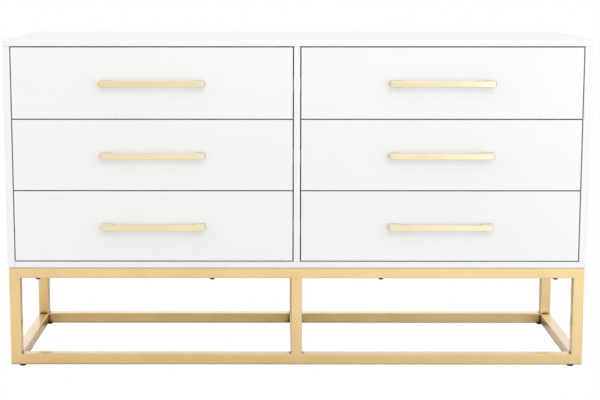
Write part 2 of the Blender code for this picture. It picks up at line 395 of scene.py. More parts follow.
@dataclass(frozen=True)
class Zinc(Finish):
    """Bright zinc on bent steel: fine crystals of unlike tone, under the scuffs of bending."""

    light: tuple = (0.69, 0.70, 0.71)
    shade: tuple = (0.60, 0.615, 0.635)
    wear: Noise = Noise(20.0, 700.0, Along.Y)
    roughness: tuple = (0.26, 0.44)
    relief: tuple = (0.3, 0.00003)
    metallic: float = 1.0
    crystals: float = 520.0

    def tone(self, sheet: NodeSheet) -> Socket:
        """A share of the lighter tone that differs from one crystal to the next."""
        crystals = sheet.node("TexVoronoi", {"Vector": sheet.place, "Scale": self.crystals})
        return sheet.node("SeparateColor", {"Color": crystals.outputs["Color"]}).outputs["Red"]


@dataclass(frozen=True)
class BlackMould(Finish):
    """Black nylon with the fine grain of its mould, greyer where it is rubbed."""

    light: tuple = (0.045, 0.040, 0.034)
    shade: tuple = (0.016, 0.014, 0.012)
    wear: Noise = Noise(220.0, ends=(0.45, 0.75))
    roughness: tuple = (0.42, 0.6)
    relief: tuple = (0.4, 0.00005)
    raised: Noise = Noise(2500.0)


@dataclass(frozen=True)
class BlackOxide(Finish):
    """Smooth blackened steel, a little brighter in patches."""

    light: tuple = (0.085, 0.078, 0.070)
    shade: tuple = (0.030, 0.027, 0.024)
    wear: Noise = Noise(380.0)
    roughness: tuple = (0.34, 0.5)
    relief: tuple = (0.0, 0.0)
    metallic: float = 0.9


WHITE = Lacquer("sprayed_white", "white_lacquer")
BACK_FOIL = Foil("white_back_foil", "back_board")
GOLD_RAIL = GoldPlate("satin_gold", "gold_tube")
GOLD_CROSS = GoldPlate("satin_gold_cross", "gold_tube", wear=replace(GoldPlate.wear, grain=Along.Y))
BRASS = GoldPlate(
    "satin_brass", "pale_brass", light=(0.88, 0.74, 0.47), shade=(0.84, 0.69, 0.41), corner_reach=0.009
)
PLY = {
    way: Timber(f"pale_ply_{way.name.lower()}", "drawer_timber", wear=replace(Timber.wear, grain=way))
    for way in (Along.X, Along.Y)
}
ZINC = Zinc("bright_zinc", "zinc_steel")
NYLON = BlackMould("moulded_nylon", "black_plastic")
OXIDE = BlackOxide("blackened_steel", "black_plastic")


def near(first: float, second: float) -> bool:
    """True where two measures are the same but for rounding."""
    return abs(first - second) < MERGE_DISTANCE


def make_active(piece: Piece) -> None:
    """Selects one piece alone and makes it the active one.

    Args:
        piece: The piece.
    """
    bpy.ops.object.select_all(action="DESELECT")
    piece.select_set(True)
    bpy.context.view_layer.objects.active = piece


def named(piece: Piece, name: str) -> Piece:
    """Gives a piece and its mesh one name."""
    piece.name = piece.data.name = name
    return piece


def added(name: str, data: bpy.types.ID) -> Piece:
    """Adds a mesh, a lamp or a camera to the scene.

    Args:
        name: Its name.
        data: The mesh, the lamp or the camera.

    Returns:
        The object that holds it.
    """
    piece = bpy.data.objects.new(name, data)
    bpy.context.scene.collection.objects.link(piece)
    return named(piece, name)


@contextmanager
def edited(piece: Piece, wanted: Test | None = None, faces: bool = True) -> Iterator[None]:
    """Opens a piece in edit mode for some work, and closes it after.

    Args:
        piece: The piece.
        wanted: Says yes or no to the corners of one face or edge. If it is left out, everything is selected.
        faces: True to select faces, and False to select edges.
    """
    make_active(piece)
    mesh = piece.data
    if wanted:
        bpy.context.tool_settings.mesh_select_mode = (False, not faces, faces)
        for group in (mesh.vertices, mesh.edges, mesh.polygons):
            group.foreach_set("select", [False] * len(group))
        for part in mesh.polygons if faces else mesh.edges:
            part.select = wanted([mesh.vertices[index].co for index in part.vertices])
    bpy.ops.object.mode_set(mode="EDIT")
    if not wanted:
        bpy.ops.mesh.select_all(action="SELECT")
    yield
    bpy.ops.object.mode_set(mode="OBJECT")


def add_block(name: str, points: Iterable) -> Piece:
    """Adds a cube that just holds some points, such as two corners.

    Args:
        name: The piece's name.
        points: The points.

    Returns:
        The piece, with its place in its mesh.
    """
    low, high = (Vector([pick(values) for values in zip(*points)]) for pick in (min, max))
    bpy.ops.mesh.primitive_cube_add(size=1.0, location=(low + high) / 2)
    piece = bpy.context.object
    piece.scale = high - low
    bpy.ops.object.transform_apply(location=True, rotation=True, scale=True)
    return named(piece, name)


def extrude(piece: Piece, wanted: Test, move: Vector) -> None:
    """Extrudes the faces of a piece that pass a test.

    Args:
        piece: The piece.
        wanted: Says yes or no to a face's corners.
        move: How far, and which way.
    """
    with edited(piece, wanted):
        bpy.ops.mesh.extrude_region_move(TRANSFORM_OT_translate={"value": move})
        bpy.ops.mesh.select_all(action="SELECT")
        bpy.ops.mesh.normals_make_consistent(inside=False)


def prism(name: str, outline: list, move: Vector) -> Piece:
    """Adds a flat face and draws it out into a solid.

    Args:
        name: The piece's name.
        outline: The corners of the face in order.
        move: How far it is drawn out, and which way.

    Returns:
        The piece.
    """
    mesh = bpy.data.meshes.new(name)
    mesh.from_pydata(outline, [], [list(range(len(outline)))])
    piece = added(name, mesh)
    extrude(piece, lambda corners: True, move)
    return piece


def turned(name: str, profile: list, foot: Vector, axis: Along, steps: int = 32) -> Piece:
    """Turns a profile round an axis, as on a lathe.

    Args:
        name: The piece's name.
        profile: Points of (radius, height) in order, from the axis back to the axis.
        foot: Where height and radius are nought.
        axis: The way that the heights run.
        steps: How many facets it has.

    Returns:
        The piece.
    """
    outward = Along.X if axis is not Along.X else Along.Z
    points = [foot + outward.unit() * radius + axis.unit() * height for radius, height in profile]
    mesh = bpy.data.meshes.new(name)
    mesh.from_pydata(points, [(index, index + 1) for index in range(len(points) - 1)], [])
    piece = added(name, mesh)
    with edited(piece):
        bpy.ops.mesh.spin(steps=steps, angle=2 * math.pi, center=foot, axis=axis.unit())
        bpy.ops.mesh.select_all(action="SELECT")
        bpy.ops.mesh.remove_doubles(threshold=MERGE_DISTANCE)
        bpy.ops.mesh.normals_make_consistent(inside=False)
    bpy.ops.object.shade_smooth_by_angle(angle=SMOOTH_ANGLE)
    return piece


def arc(centre: tuple, radius: float, start: float, end: float, steps: int) -> list:
    """Points of (radius, height) along an arc, from one angle to another in degrees from the radius axis."""
    turns = [math.radians(start + (end - start) * step / steps) for step in range(steps + 1)]
    return [(centre[0] + radius * math.cos(turn), centre[1] + radius * math.sin(turn)) for turn in turns]


def bevel_edges(piece: Piece, wanted: Test, radius: float, steps: int) -> None:
    """Rounds the edges of a piece whose two ends pass a test, with so many facets."""
    with edited(piece, wanted, faces=False):
        bpy.ops.mesh.bevel(offset=radius, offset_type="OFFSET", segments=steps, profile=0.5, affect="EDGES")


def apply_modifier(piece: Piece, kind: str, **settings: object) -> None:
    """Adds a modifier to a piece and applies it.

    Args:
        piece: The piece.
        kind: The modifier's type.
        settings: Its settings.
    """
    make_active(piece)
    modifier = piece.modifiers.new(kind.title(), kind)
    for name, value in settings.items():
        setattr(modifier, name, value)
    bpy.ops.object.modifier_apply(modifier=modifier.name)


def ease(piece: Piece, radius: float, steps: int = 2, angle: float = 40.0) -> Piece:
    """Eases every sharp edge of a piece, and shades it smooth but for its flats.

    Args:
        piece: The piece.
        radius: The radius of the easing.
        steps: How many facets it has.
        angle: The least angle, in degrees, that counts as sharp.

    Returns:
        The piece.
    """
    make_active(piece)
    bpy.ops.object.shade_smooth()
    sharp = {"limit_method": "ANGLE", "angle_limit": math.radians(angle)}
    apply_modifier(piece, "BEVEL", width=radius, segments=steps, harden_normals=True, **sharp)
    return piece


def cut_away(piece: Piece, cutter: Piece) -> None:
    """Cuts another piece out of a piece, and removes it."""
    apply_modifier(piece, "BOOLEAN", operation="DIFFERENCE", solver="EXACT", object=cutter)
    bpy.data.objects.remove(cutter)


def joined(name: str, pieces: list) -> Piece:
    """Joins several pieces into one.

    Args:
        name: Its name.
        pieces: The pieces.

    Returns:
        The one piece.
    """
    make_active(pieces[0])
    for piece in pieces[1:]:
        piece.select_set(True)
    bpy.ops.object.join()
    return named(pieces[0], name)


def copied(piece: Piece, name: str, move: Vector) -> Piece:
    """A copy of a piece with its own mesh, moved within its mesh.

    Args:
        piece: The piece.
        name: The copy's name.
        move: How far the copy is moved.

    Returns:
        The copy.
    """
    copy = added(name, piece.data.copy())
    for vertex in copy.data.vertices:
        vertex.co += move
    return copy


def copy_of_node(node: str) -> Piece:
    """A copy of a solid's mesh with whole faces in place of its triangles.

    Args:
        node: The solid.

    Returns:
        The copy.
    """
    piece = added(f"{node}_board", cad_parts[node].data.copy())
    with edited(piece):
        bpy.ops.mesh.customdata_custom_splitnormals_clear()
        bpy.ops.mesh.remove_doubles(threshold=MERGE_DISTANCE)
        bpy.ops.mesh.dissolve_limited(angle_limit=FLAT_ANGLE)
        bpy.ops.mesh.mark_sharp(clear=True)
    return piece


def dress(piece: Piece, finish: Finish, body: str, *nodes: str) -> None:
    """Gives a piece its finish and its body, and hides the solids that it stands for.

    Args:
        piece: The piece.
        finish: Its finish.
        body: The body that it moves with.
        nodes: The solids that it replaces.
    """
    piece.data.materials.clear()
    piece.data.materials.append(finish.material())
    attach(piece, body)
    if nodes:
        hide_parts(*nodes)
    LOG.info("%s: %d faces, rides on %s", piece.name, len(piece.data.polygons), body)


@dataclass(frozen=True)
class CrossScrew:
    """A screw with a cross slot, whose head rises from its seat or is let into it."""

    head_radius: float
    head_height: float
    shank_radius: float
    length: float
    countersunk: bool = False
    bend_share: float = 0.8
    crown_turn: float = 80.0
    arm_share: float = 0.58
    blade_share: float = 0.15
    slot_share: float = 0.5

    def profile(self) -> list:
        """The screw's profile, with the seat at height 0 and the head above it."""
        head, shank = self.head_radius, self.shank_radius
        tip = [(0.0, -self.length), (shank, 2 * shank - self.length)]
        if self.countersunk:
            return tip + [(shank, shank - head), (head, 0.0), (0.0, 0.0)]
        bend = self.head_height * self.bend_share
        crown = arc((head - bend, self.head_height - bend), bend, 0.0, self.crown_turn, steps=4)
        return tip + [(shank, PLAY), (head, PLAY)] + crown + [(0.0, self.head_height)]

    def build(self, name: str, seats: list, axis: Along, way: int = 1) -> Piece:
        """Builds a row of the screws as one piece.

        Args:
            name: Its name.
            seats: The middles of their seats.
            axis: The way that their shanks run.
            way: 1 where their heads look along the axis, and -1 where they look back.

        Returns:
            The piece.
        """
        seat = seats[0]
        profile = [(radius, way * height) for radius, height in self.profile()]
        screw = turned("screw", profile, seat, axis, steps=24)
        top = 0.0 if self.countersunk else self.head_height
        deep = self.head_radius * self.slot_share
        ends = [seat + axis.unit() * way * height for height in (top - deep, top + OVERCUT)]
        first, second = [other.unit() for other in Along if other is not axis]
        for long, thin in ((first, second), (second, first)):
            half = (long * self.arm_share + thin * self.blade_share) * self.head_radius
            cut_away(screw, add_block("slot", [end + half * sign for end in ends for sign in (-1, 1)]))
        return joined(name, [screw] + [copied(screw, "screw", other - seat) for other in seats[1:]])


@dataclass
class Case:
    """The lacquered boards of the case, and its screwed back."""

    arris: float = 0.0007
    back_arris: float = 0.0004
    boards: tuple = ("top_panel", "bottom_panel", "left_side_panel", "right_side_panel", "centre_divider")
    screw: CrossScrew = CrossScrew(0.0034, 0.0, 0.0015, 0.016, countersunk=True)
    screw_sink: float = 0.0003
    screw_inset: float = 0.0045
    screw_spacing: float = 0.160

    def build(self) -> None:
        """Builds the boards, the back and its screws."""
        for node in self.boards:
            dress(ease(copy_of_node(node), self.arris), WHITE, CABINET, node)
        self.build_back()

    def spaced(self, start: float, end: float) -> list:
        """Even places for screws between two edges of the back."""
        first, last = start + self.screw_inset, end - self.screw_inset
        count = round((last - first) / self.screw_spacing)
        return [first + (last - first) / count * index for index in range(count + 1)]

    def screw_places(self) -> list:
        """Where the back's screws stand: round its edge, and down the middle into the divider."""
        low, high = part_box("back_panel")
        xs, zs = self.spaced(low.x, high.x), self.spaced(low.z, high.z)
        rows = [(x, z) for z in (zs[0], zs[-1]) for x in xs]
        columns = [(x, z) for x in (xs[0], (low.x + high.x) / 2, xs[-1]) for z in zs[1:-1]]
        return [Vector((x, high.y, z)) for x, z in rows + columns]

    def build_back(self) -> None:
        """Builds the thin back, countersunk for its screws."""
        board = copy_of_node("back_panel")
        head = self.screw.head_radius + self.screw_sink
        sink = [(0.0, -head), (head, 0.0), (head, OVERCUT), (0.0, OVERCUT)]
        places = self.screw_places()
        cutters = [turned("sink", sink, place, Along.Y, steps=16) for place in places]
        cut_away(board, joined("sinks", cutters))
        dress(ease(board, self.back_arris, steps=1, angle=60.0), BACK_FOIL, CABINET, "back_panel")
        seats = [place - Vector((0, self.screw_sink, 0)) for place in places]
        dress(self.screw.build("back_panel_screws", seats, Along.Y), ZINC, CABINET)


@dataclass(frozen=True)
class Glide:
    """A turned foot with a domed tread, a groove under its collar and a stem that goes up into the tube."""

    tread_share: float = 0.72
    groove_shares: tuple = (0.66, 0.70, 0.76, 0.80)
    groove_depth: float = 0.0006
    collar_arris: float = 0.0003
    stem_share: float = 0.44
    tip_share: float = 0.36
    tip_height: float = 0.0008

    def build(self, node: str) -> None:
        """Builds the foot.

        Args:
            node: The solid that it stands for.
        """
        low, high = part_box(node)
        foot = Vector(((low.x + high.x) / 2, (low.y + high.y) / 2, low.z))
        radius = (high.x - low.x) / 2
        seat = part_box("front_base_frame")[0].z - PLAY
        tread, stem = radius * self.tread_share, radius * self.stem_share
        dome, neck = radius - tread, radius - self.groove_depth
        profile = [(0.0, 0.0)] + arc((tread, dome), dome, -90.0, 0.0, steps=6)
        profile += [(x, seat * z) for x, z in zip((radius, neck, neck, radius), self.groove_shares)]
        profile += [(radius, seat - self.collar_arris), (radius - self.collar_arris, seat), (stem, seat)]
        profile += [(stem, high.z - self.tip_height), (radius * self.tip_share, high.z), (0.0, high.z)]
        dress(turned(f"{node}_foot", profile, foot, Along.Z, steps=40), NYLON, CABINET, node)


@dataclass(frozen=True)
class Bolt:
    """A button-head bolt with a washer and a six-sided socket, its head down."""

    washer_radius: float = 0.0075
    washer_thickness: float = 0.0012
    head_radius: float = 0.0060
    head_height: float = 0.0046
    head_bend: float = 0.0018
    head_flat_share: float = 0.55
    crown_turn: float = 78.0
    shank_radius: float = 0.0030
    reach: float = 0.011
    socket_radius: float = 0.0024
    socket_depth: float = 0.0026

    def build(self, place: Vector, tube: float) -> Piece:
        """Builds the bolt.

        Args:
            place: The middle of its seat inside the tube.
            tube: The tube's width.

        Returns:
            The piece.
        """
        crown, bend, washer = self.head_radius, self.head_bend, self.washer_thickness
        foot = -washer - self.head_height
        length = tube + self.reach
        profile = [(0.0, foot), (crown * self.head_flat_share, foot)]
        profile += arc((crown - bend, foot + bend), bend, -self.crown_turn, 0.0, steps=5)
        profile += [(crown, -washer), (self.washer_radius, -washer), (self.washer_radius, -PLAY)]
        profile += [(self.shank_radius, -PLAY), (self.shank_radius, length), (0.0, length)]
        bolt = turned("bolt", profile, place, Along.Z)
        middle = place + Vector((0, 0, foot))
        bpy.ops.mesh.primitive_cylinder_add(
            vertices=6, radius=self.socket_radius, depth=2 * self.socket_depth, location=middle
        )
        bpy.ops.object.transform_apply(location=True, rotation=True, scale=True)
        cut_away(bolt, bpy.context.object)
        return bolt


@dataclass
class TubeBase:
    """The gold base: two welded frames, six cross rails, four glides and eight bolts."""

    wall: float = 0.002
    corner: float = 0.0022
    corner_steps: int = 4
    mitre_arris: float = 0.0006
    flat_angle: float = math.radians(40)
    open_end: float = 0.020
    glide: Glide = Glide()
    bolt: Bolt = Bolt()
    bolt_end_inset: float = 0.0725
    bolt_inner_x: float = 0.220

    def build(self) -> None:
        """Builds the whole base."""
        for row in ("front", "back"):
            self.build_frame(f"{row}_base_frame")
        for place in ("left", "centre", "right"):
            for level in ("bottom", "top"):
                self.build_cross_rail(f"{place}_{level}_rail")
        for row in ("front", "back"):
            for side in Side:
                self.glide.build(f"{row}_{side.word}_glide")
        self.build_bolts()

    def build_frame(self, node: str) -> None:
        """Builds one frame of square tube, with its long edges rolled round and its outer mitres eased.

        Args:
            node: The solid that it stands for.
        """
        low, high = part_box(node)
        tube = high.y - low.y
        piece = add_block(f"{node}_tube", (low, high))
        for side in Side:
            inner = (side.value * tube / 2, low.y - OVERCUT, low.z + tube)
            outer = (side.value * (high.x - tube), high.y + OVERCUT, high.z - tube)
            cut_away(piece, add_block("window", (inner, outer)))

        def outer_mitre(ends: list) -> bool:
            """True for the short edges across the frame's outer corners."""
            outer = all(near(abs(end.x), high.x) for end in ends)
            return outer and all(near(end.z, low.z) or near(end.z, high.z) for end in ends)

        bevel_edges(piece, lambda ends: near(ends[0].y, ends[1].y), self.corner, self.corner_steps)
        bevel_edges(piece, outer_mitre, self.mitre_arris, steps=2)
        self.finish_tube(piece, GOLD_RAIL, node)

    def build_cross_rail(self, node: str) -> None:
        """Builds one open-ended tube between the two frames.

        Args:
            node: The solid that it stands for.
        """
        low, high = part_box(node)
        piece = add_block(f"{node}_tube", (low, high))
        bevel_edges(piece, lambda ends: not near(ends[0].y, ends[1].y), self.corner, self.corner_steps)
        sunk = {"value": -self.open_end}
        for end_y in (low.y, high.y):
            with edited(piece, lambda corners: all(near(corner.y, end_y) for corner in corners)):
                bpy.ops.mesh.inset(thickness=self.wall, depth=0.0)
                bpy.ops.mesh.extrude_region_shrink_fatten(TRANSFORM_OT_shrink_fatten=sunk)
        self.finish_tube(piece, GOLD_CROSS, node)

    def finish_tube(self, piece: Piece, finish: Finish, node: str) -> None:
        """Shades the rolled edges smooth, keeps the flats flat and the inside corners sharp, and dresses it.

        Args:
            piece: The piece.
            finish: Its finish.
            node: The solid that it stands for.
        """
        make_active(piece)
        bpy.ops.object.shade_smooth_by_angle(angle=self.flat_angle)
        apply_modifier(piece, "WEIGHTED_NORMAL", mode="FACE_AREA", weight=100, keep_sharp=True)
        dress(piece, finish, CABINET, node)

    def build_bolts(self) -> None:
        """Builds the eight bolts that go up through the frames into the case."""
        ends = {row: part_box(f"{row}_base_frame") for row in ("front", "back")}
        tube = ends["front"][1].y - ends["front"][0].y
        outer = ends["front"][1].x - self.bolt_end_inset
        xs = (-outer, -self.bolt_inner_x, self.bolt_inner_x, outer)
        places = {
            f"{row}_base_bolt_{number}": Vector((x, (low.y + high.y) / 2, high.z - tube))
            for row, (low, high) in ends.items()
            for number, x in enumerate(xs, 1)
        }
        start = places["front_base_bolt_1"]
        pattern = self.bolt.build(start, tube)
        for name, place in places.items():
            dress(copied(pattern, name, place - start), OXIDE, CABINET)
        bpy.data.objects.remove(pattern)


@dataclass
class DrawerSet:
    """Pieces that every drawer has alike: built once, and then copied into the other drawers' places.

    Args:
        name: The drawer's name, which is also its body's.
    """

    name: str
    pieces: dict = field(default_factory=dict, init=False)

    def node(self, part: str) -> str:
        """The name of one of the drawer's solids or pieces."""
        return f"{self.name}_{part}"

    def corners(self, part: str) -> tuple:
        """The lowest corner and the highest of one of the drawer's solids."""
        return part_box(self.node(part))

    def keep(self, part: str, piece: Piece, finish: Finish, *nodes: str, fixed: bool = False) -> None:
        """Dresses a piece, and keeps it so that another drawer can copy it.

        Args:
            part: The piece's name without the drawer's.
            piece: The piece.
            finish: Its finish.
            nodes: The solids that it replaces, named without the drawer.
            fixed: True where it stays on the cabinet as the drawer moves.
        """
        body = CABINET if fixed else self.name
        dress(named(piece, self.node(part)), finish, body, *[self.node(node) for node in nodes])
        self.pieces[part] = (piece, finish, nodes, fixed)

    def copy_from(self, pattern: "DrawerSet") -> None:
        """Copies another drawer's pieces into this drawer's place.

        Args:
            pattern: The drawer that is already built.
        """
        move = self.corners("front")[0] - pattern.corners("front")[0]
        for part, (piece, finish, nodes, fixed) in pattern.pieces.items():
            self.keep(part, copied(piece, self.node(part), move), finish, *nodes, fixed=fixed)


@dataclass
class Drawer(DrawerSet):
    """One drawer: its lacquered front, its dovetailed box and its bar pull."""

    front_arris: float = 0.0008
    wall: float = 0.012
    floor_thickness: float = 0.006
    floor_rise: float = 0.010
    tails: int = 4
    tail_share: float = 0.60
    tail_slope: float = math.tan(math.radians(9))
    box_arris: float = 0.0005
    pull_foot: float = 0.028
    pull_thickness: float = 0.012
    pull_end_radius: float = 0.0045
    pull_inner_radius: float = 0.0022
    pull_arris: float = 0.0014
    screw: CrossScrew = CrossScrew(0.0042, 0.0026, 0.0019, 0.010)
    screw_spacing: float = 0.240

    def build(self) -> None:
        """Builds the drawer."""
        self.keep("front_board", ease(copy_of_node(self.node("front")), self.front_arris), WHITE, "front")
        for side in Side:
            self.build_side(side)
        low, high = self.corners("box")
        self.build_end("box_front", low.y, 1)
        self.build_end("box_back", high.y, -1)
        self.build_floor()
        self.build_pull()
        self.build_screws()

    def tail_outlines(self, end_y: float, inward: int, slack: float = 0.0, reach: float = 0.0) -> list:
        """The corners of the tails at one end of a side, from the lowest up.

        Args:
            end_y: Where the side ends.
            inward: 1 where the side lies behind its end, and -1 where it lies in front.
            slack: How much wider each tail is on each side.
            reach: How far the tails go past their end and past their root.

        Returns:
            Four corners of (y, z) for each tail.
        """
        low, high = self.corners("box")
        pitch = (high.z - low.z) / self.tails
        root = pitch * self.tail_share / 2 + slack
        narrow = root - reach * self.tail_slope
        wide = root + (self.wall + reach) * self.tail_slope
        root_y = end_y + inward * (self.wall + reach)
        tip_y = end_y - inward * reach
        middles = [low.z + pitch * (index + 0.5) for index in range(self.tails)]
        steps = ((root_y, -narrow), (tip_y, -wide), (tip_y, wide), (root_y, narrow))
        return [[(y, middle + step) for y, step in steps] for middle in middles]

    def build_side(self, side: Side) -> None:
        """Builds a side with tails at both ends.

        Args:
            side: Which side.
        """
        low, high = self.corners("box")
        front = [corner for tail in self.tail_outlines(low.y, 1) for corner in tail]
        back = [corner for tail in self.tail_outlines(high.y, -1) for corner in tail]
        root_front, root_back = low.y + self.wall, high.y - self.wall
        outline = [(root_front, low.z)] + front + [(root_front, high.z), (root_back, high.z)]
        outline += back[::-1] + [(root_back, low.z)]
        x = low.x if side is Side.LEFT else high.x - self.wall
        board = prism("side", [(x, y, z) for y, z in outline], Vector((self.wall, 0, 0)))
        nodes = ("box",) if side is Side.LEFT else ()
        self.keep(f"box_{side.word}_side", ease(board, self.box_arris), PLY[Along.Y], *nodes)

    def build_end(self, part: str, end_y: float, inward: int) -> None:
        """Builds the inner front or the back, with pins between the sides' tails.

        Args:
            part: The piece's name.
            end_y: Where the box ends there.
            inward: 1 for the inner front, and -1 for the back.
        """
        low, high = self.corners("box")
        board = add_block(part, [(low.x, end_y, low.z), (high.x, end_y + inward * self.wall, high.z)])
        length = Vector((self.wall + OVERCUT + PLAY, 0, 0))
        cutters = [
            prism("tail", [(start, y, z) for y, z in tail], length)
            for start in (low.x - OVERCUT, high.x - self.wall - PLAY)
            for tail in self.tail_outlines(end_y, inward, PLAY / 2, OVERCUT)
        ]
        cut_away(board, joined("tails", cutters))
        self.keep(part, ease(board, self.box_arris), PLY[Along.X])

    def build_floor(self) -> None:
        """Builds the box's floor, let in between its four sides."""
        low, high = self.corners("box")
        inset = self.wall + PLAY
        floor_low = low + Vector((inset, inset, self.floor_rise))
        floor_high = Vector((high.x - inset, high.y - inset, floor_low.z + self.floor_thickness))
        floor = ease(add_block("box_floor", (floor_low, floor_high)), self.box_arris / 2, steps=1)
        self.keep("box_floor", floor, PLY[Along.X])

    def build_pull(self) -> None:
        """Builds the bar pull from one bar, with its feet drawn out of the back of it."""
        low, high = self.corners("pull")
        bar_back = low.y + self.pull_thickness
        middle = (low.x + high.x) / 2
        inner = high.x - self.pull_foot - middle
        piece = add_block("bar_pull", (low, (high.x, bar_back, high.z)))
        with edited(piece):
            for place in (low.x + self.pull_foot, high.x - self.pull_foot):
                bpy.ops.mesh.select_all(action="SELECT")
                bpy.ops.mesh.bisect(plane_co=Along.X.unit() * place, plane_no=Along.X.unit())

        def foot_face(corners: list) -> bool:
            """True for the two faces on the bar's back that the feet grow from."""
            beside = abs(sum(corner.x for corner in corners) / len(corners) - middle) > inner
            return beside and all(near(corner.y, bar_back) for corner in corners)

        def upright(ends: list, reach: float, y: float) -> bool:
            """True for an upright edge that lies so far out from the pull's middle, on either side."""
            return all(near(abs(end.x - middle), reach) and near(end.y, y) for end in ends)

        extrude(piece, foot_face, Vector((0, high.y - bar_back, 0)))
        bevel_edges(piece, lambda ends: upright(ends, high.x - middle, low.y), self.pull_end_radius, steps=6)
        bevel_edges(piece, lambda ends: upright(ends, inner, bar_back), self.pull_inner_radius, steps=4)
        with edited(piece):
            bpy.ops.mesh.dissolve_limited(angle_limit=FLAT_ANGLE)
        self.keep("bar_pull", ease(piece, self.pull_arris, steps=4, angle=50.0), BRASS, "pull")

    def build_screws(self) -> None:
        """Builds the pull's two screws, whose heads lie inside the box."""
        low, high = self.corners("pull")
        middle = (low + high) / 2
        inner_y = self.corners("box")[0].y + self.wall
        seat = Vector((middle.x - self.screw_spacing / 2, inner_y, middle.z))
        seats = [seat, seat + Vector((self.screw_spacing, 0, 0))]
        self.keep("pull_screws", self.screw.build("screws", seats, Along.Y), ZINC)


@dataclass
class Runners(DrawerSet):
    """A drawer's two ball runners: a channel on the case, a channel on the drawer, and balls between them."""

    sheet: float = 0.0012
    bend: float = 0.0016
    bend_steps: int = 4
    lip: float = 0.0014
    ball_radius: float = 0.0015
    balls: int = 9
    ball_spacing: float = 0.0125
    cage_width: float = 0.0010
    cage_height_share: float = 0.62
    cage_arris: float = 0.0001
    cage_start: float = 0.012
    stop_length: float = 0.006
    stop_space: float = 0.0015
    stop_arris: float = 0.0009
    screw: CrossScrew = CrossScrew(0.0034, 0.0018, 0.0016, 0.010)
    screw_places: tuple = (0.035, 0.190, 0.355)
    lever_place: float = 0.085
    lever_depth: float = 0.002
    lever_arris: float = 0.0005
    lever_lower: tuple = ((0.0, -0.0035), (0.014, -0.0025), (0.028, -0.0045), (0.036, -0.0085))
    lever_tip: tuple = ((0.039, -0.0065), (0.036, -0.0010))
    lever_upper: tuple = ((0.026, 0.0025), (0.012, 0.0040), (0.0, 0.0035), (-0.0025, 0.0))

    def build(self) -> None:
        """Builds both sides."""
        for side in Side:
            low, high = self.corners(f"cabinet_runner_{side.word}")
            self.build_channel(f"cabinet_runner_{side.word}", low, high, -side.value, fixed=True)
            low, high = self.drawer_channel_box(side)
            self.build_channel(f"drawer_runner_{side.word}", low, high, side.value, fixed=False)
            self.build_cage(side)
            self.build_stop(side)
            self.build_lever(side)

    def outline(self, width: float, half: float, fixed: bool) -> list:
        """The outline of a bent channel with turned lips.

        Args:
            width: From the back of its web to its mouth.
            half: Half of its height over its lips.
            fixed: True where its lips turn in, and False where they turn out.

        Returns:
            Corners of (distance from the back of the web, height from its middle).
        """
        flange = half if fixed else half - self.lip
        rise, mouth, inner = flange - self.sheet, width - self.sheet, self.bend - self.sheet
        lips = [(mouth, flange), (mouth, half), (width, half), (width, rise)]
        if fixed:
            lips = [(width, flange), (width, rise - self.lip), (mouth, rise - self.lip), (mouth, rise)]
        corner = arc((self.bend, flange - self.bend), self.bend, 180.0, 90.0, self.bend_steps)
        upper = corner + lips + [(self.sheet + inner, rise), (self.sheet, rise - inner)]
        return upper + [(x, -z) for x, z in reversed(upper)]

    def build_channel(self, node: str, low: Vector, high: Vector, opens: int, fixed: bool) -> None:
        """Builds a channel with holes, and its screws with their heads inside it.

        Args:
            node: The solid that the channel replaces, named without the drawer.
            low: The channel's lowest corner.
            high: Its highest corner.
            opens: 1 where its mouth looks along +X, and -1 where it looks along -X.
            fixed: True on the case, where its lips turn in over the balls, and False on the drawer.
        """
        back_x = low.x if opens > 0 else high.x
        middle_z = (low.z + high.z) / 2
        outline = self.outline(high.x - low.x, (high.z - low.z) / 2, fixed)
        corners = [(back_x + opens * x, low.y, middle_z + z) for x, z in outline]
        channel = prism("channel", corners, Vector((0, high.y - low.y, 0)))
        hole, below, above = self.screw.shank_radius + PLAY, -opens * self.sheet, 2 * opens * self.sheet
        profile = [(0.0, below), (hole, below), (hole, above), (0.0, above)]
        places, seats = (
            [Vector((x, low.y + place, middle_z)) for place in self.screw_places]
            for x in (back_x, back_x + opens * self.sheet)
        )
        cutters = [turned("hole", profile, place, Along.X, steps=16) for place in places]
        cut_away(channel, joined("holes", cutters))
        make_active(channel)
        bpy.ops.object.shade_smooth_by_angle(angle=SMOOTH_ANGLE)
        self.keep(f"{node}_channel", channel, ZINC, node, fixed=fixed)
        self.keep(f"{node}_screws", self.screw.build("screws", seats, Along.X, opens), ZINC, fixed=fixed)

    def drawer_channel_box(self, side: Side) -> tuple:
        """The corners of the drawer's channel, between the balls above and below it and short of the stop.

        Args:
            side: Which side.

        Returns:
            The lowest corner and the highest.
        """
        low, high = self.corners(f"drawer_runner_{side.word}")
        room = Vector((0, 0, 2 * self.ball_radius - self.lip))
        return low + room, high - room - Vector((0, self.stop_length + self.stop_space, 0))

    def build_cage(self, side: Side) -> None:
        """Builds the balls and the two strips that space them, which stay near the case channel's mouth.

        Args:
            side: Which side.
        """
        low, high = self.drawer_channel_box(side)
        middle_x = (low.x + high.x) / 2 + side.value * self.sheet
        length = self.ball_spacing * self.balls
        bpy.ops.mesh.primitive_uv_sphere_add(segments=12, ring_count=8, radius=self.ball_radius)
        bpy.ops.object.shade_smooth()
        ball = bpy.context.object
        pieces = []
        offset = self.lip - self.ball_radius - PLAY / 2
        half = Vector((self.cage_width / 2, 0, self.ball_radius * self.cage_height_share))
        for level in (low.z + offset, high.z - offset):
            start = Vector((middle_x, low.y + self.cage_start, level))
            strip = add_block("strip", (start - half, start + half + Vector((0, length, 0))))
            pieces.append(ease(strip, self.cage_arris, steps=1))
            steps = [self.ball_spacing * (index + 0.5) for index in range(self.balls)]
            pieces += [copied(ball, "ball", start + Vector((0, step, 0))) for step in steps]
        bpy.data.objects.remove(ball)
        self.keep(f"ball_cage_{side.word}", joined("cage", pieces), ZINC, fixed=True)

